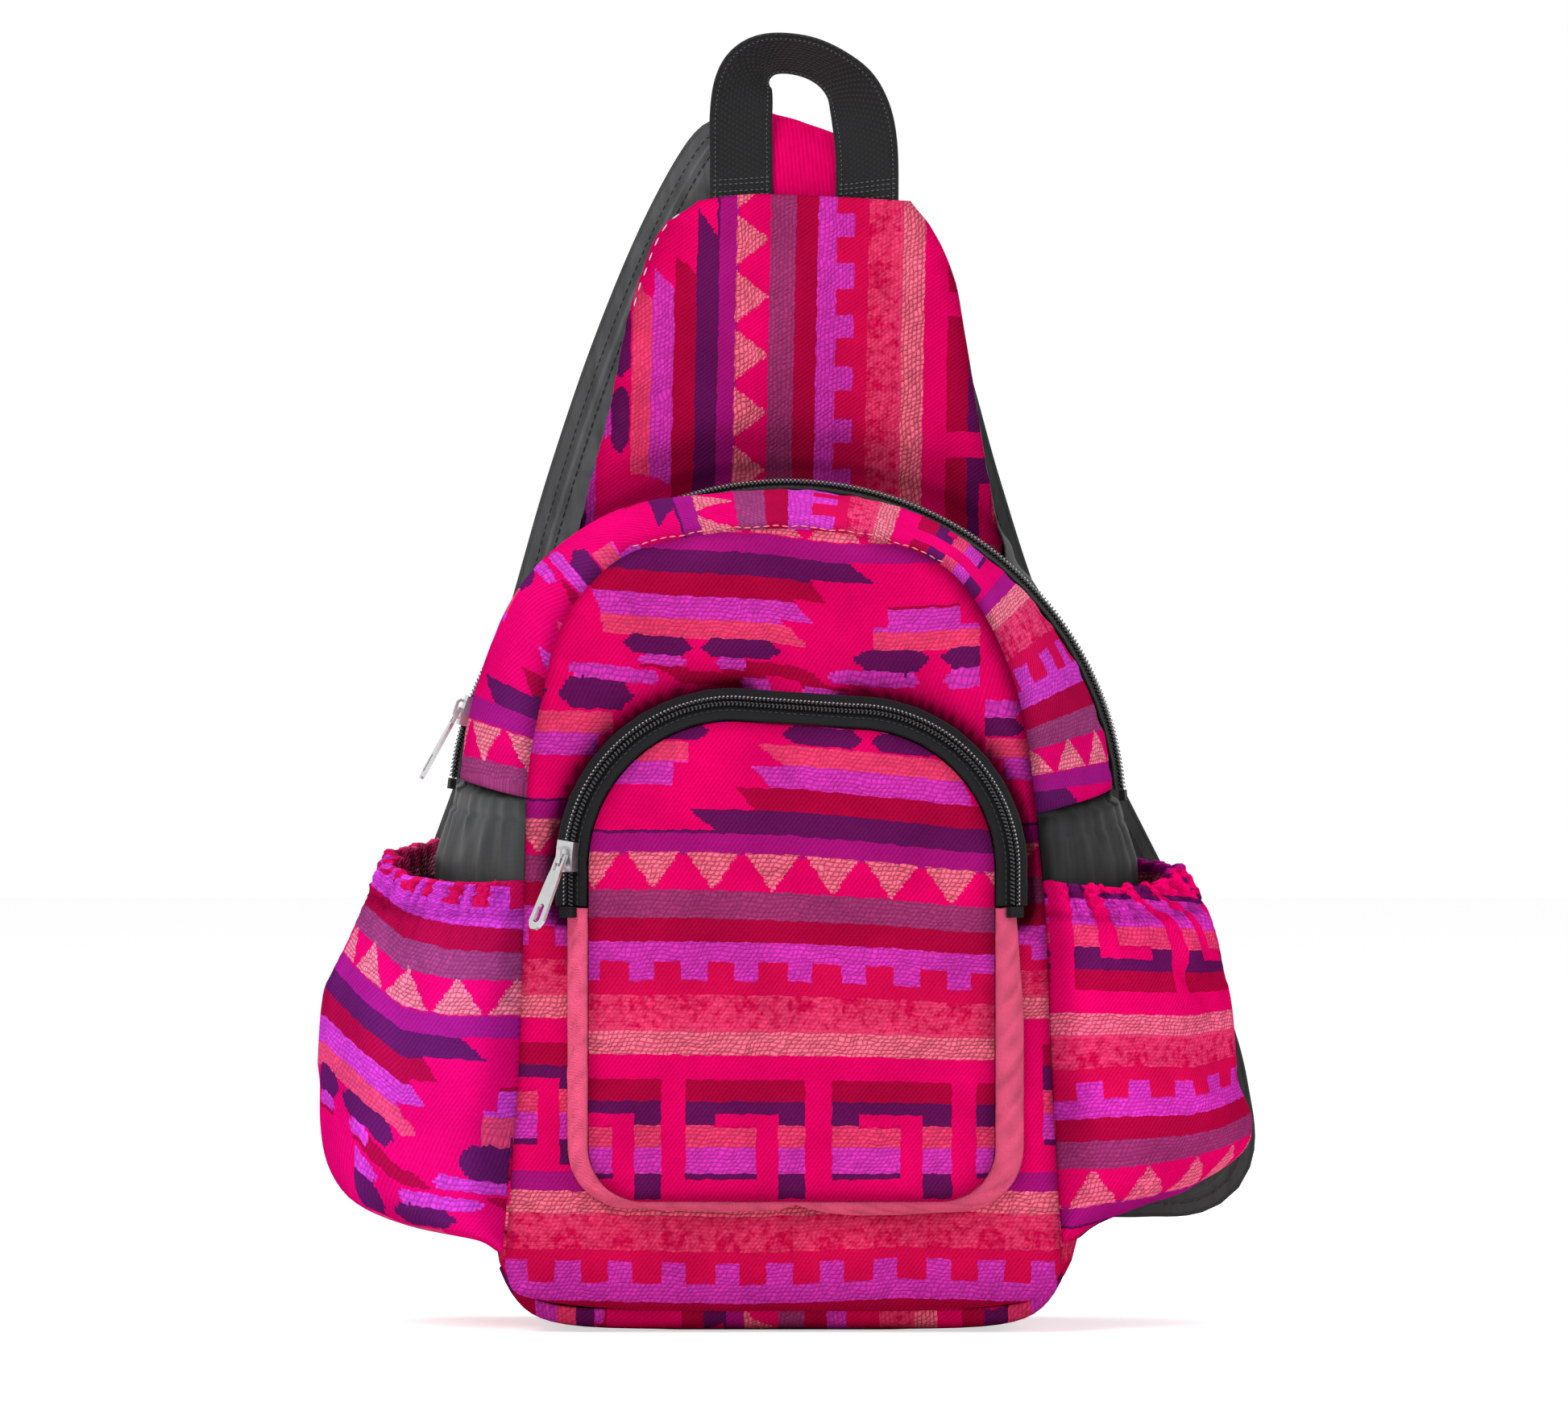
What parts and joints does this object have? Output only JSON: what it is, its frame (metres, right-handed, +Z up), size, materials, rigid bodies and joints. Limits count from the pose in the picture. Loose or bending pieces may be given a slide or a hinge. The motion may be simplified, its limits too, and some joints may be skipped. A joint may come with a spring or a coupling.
{
  "type": "backpack",
  "caption": "Small teardrop backpack in striped woven cloth with an arched main zip, a zipped front pocket, open side pockets, a carry handle and padded straps.",
  "frame": {"origin": "centre of the flat bottom panel, on the surface the bag stands on", "axes": "+Z up towards the carry handle, +Y back towards the wearer, the front faces -Y, +X to the right in the picture"},
  "size_m": [0.3536, 0.185, 0.4891],
  "materials": {
    "striped_weave": "thick twill weave in bands of pinks, reds and purples",
    "black_nylon": "soft black nylon with a slight sheen",
    "zip_tape": "fine ribbed black tape",
    "zip_coil": "black nylon coil",
    "black_webbing": "black woven webbing",
    "foam": "soft foam, enclosed",
    "white_elastic": "flat elastic, enclosed in a hem",
    "coral_cloth": "plain coral cloth, slightly creased",
    "silver_metal": "bright silver plated metal"
  },
  "bodies": {
    "bag": {"upper_front_panel": "striped_weave", "main_gusset": "striped_weave", "front_panel": "striped_weave", "bottom_panel": "striped_weave", "side_pocket_left": "striped_weave", "side_pocket_right": "striped_weave", "front_pocket_face": "striped_weave", "strap_yoke": "striped_weave", "strap_cover_left": "striped_weave", "strap_cover_right": "striped_weave", "back_panel": "black_nylon", "back_lining": "black_nylon", "side_panel_left": "black_nylon", "side_panel_right": "black_nylon", "rear_gusset_left": "black_nylon", "rear_gusset_right": "black_nylon", "strap_lining_left": "black_nylon", "strap_lining_right": "black_nylon", "main_zip_tape_front": "zip_tape", "main_zip_tape_rear": "zip_tape", "main_zip_stop_left": "zip_tape", "main_zip_stop_right": "zip_tape", "pocket_zip_tape_inner": "zip_tape", "pocket_zip_tape_outer": "zip_tape", "pocket_zip_stop_left": "zip_tape", "pocket_zip_stop_right": "zip_tape", "strap_zip_tape_left": "zip_tape", "strap_zip_tape_right": "zip_tape", "main_zip_coil_front": "zip_coil", "main_zip_coil_rear": "zip_coil", "pocket_zip_coil_inner": "zip_coil", "pocket_zip_coil_outer": "zip_coil", "strap_zip_coil_left": "zip_coil", "strap_zip_coil_right": "zip_coil", "carry_handle": "black_webbing", "strap_tab_left": "black_webbing", "strap_tab_right": "black_webbing", "back_pad": "foam", "strap_foam_left": "foam", "strap_foam_right": "foam", "side_pocket_elastic_left": "white_elastic", "side_pocket_elastic_right": "white_elastic", "front_pocket_gusset": "coral_cloth"},
    "main_slider": {"main_slider": "silver_metal"},
    "main_pull": {"main_pull": "silver_metal"},
    "pocket_slider": {"pocket_slider": "silver_metal"},
    "pocket_pull": {"pocket_pull": "silver_metal"}
  },
  "joints": [
    {"name": "main_slider_travel", "type": "hinge", "parent": "bag", "child": "main_slider", "pos_m": [-0.001, 0.004, 0.1905], "axis": [0, 1, 0], "range_deg": [-8, 148]},
    {"name": "main_pull_swing", "type": "hinge", "parent": "main_slider", "child": "main_pull", "pos_m": [-0.12421, 0.00313, 0.23173], "axis": [-0.1647, 0.9848, 0.0551], "range_deg": [0, 145]},
    {"name": "pocket_slider_travel", "type": "hinge", "parent": "bag", "child": "pocket_slider", "pos_m": [-0.0205, -0.07225, 0.1734], "axis": [0, 1, 0], "range_deg": [0, 84]},
    {"name": "pocket_pull_swing", "type": "hinge", "parent": "pocket_slider", "child": "pocket_pull", "pos_m": [-0.08402, -0.07579, 0.17728], "axis": [-0.7058, 0.7071, 0.0432], "range_deg": [0, 145]}
  ]
}
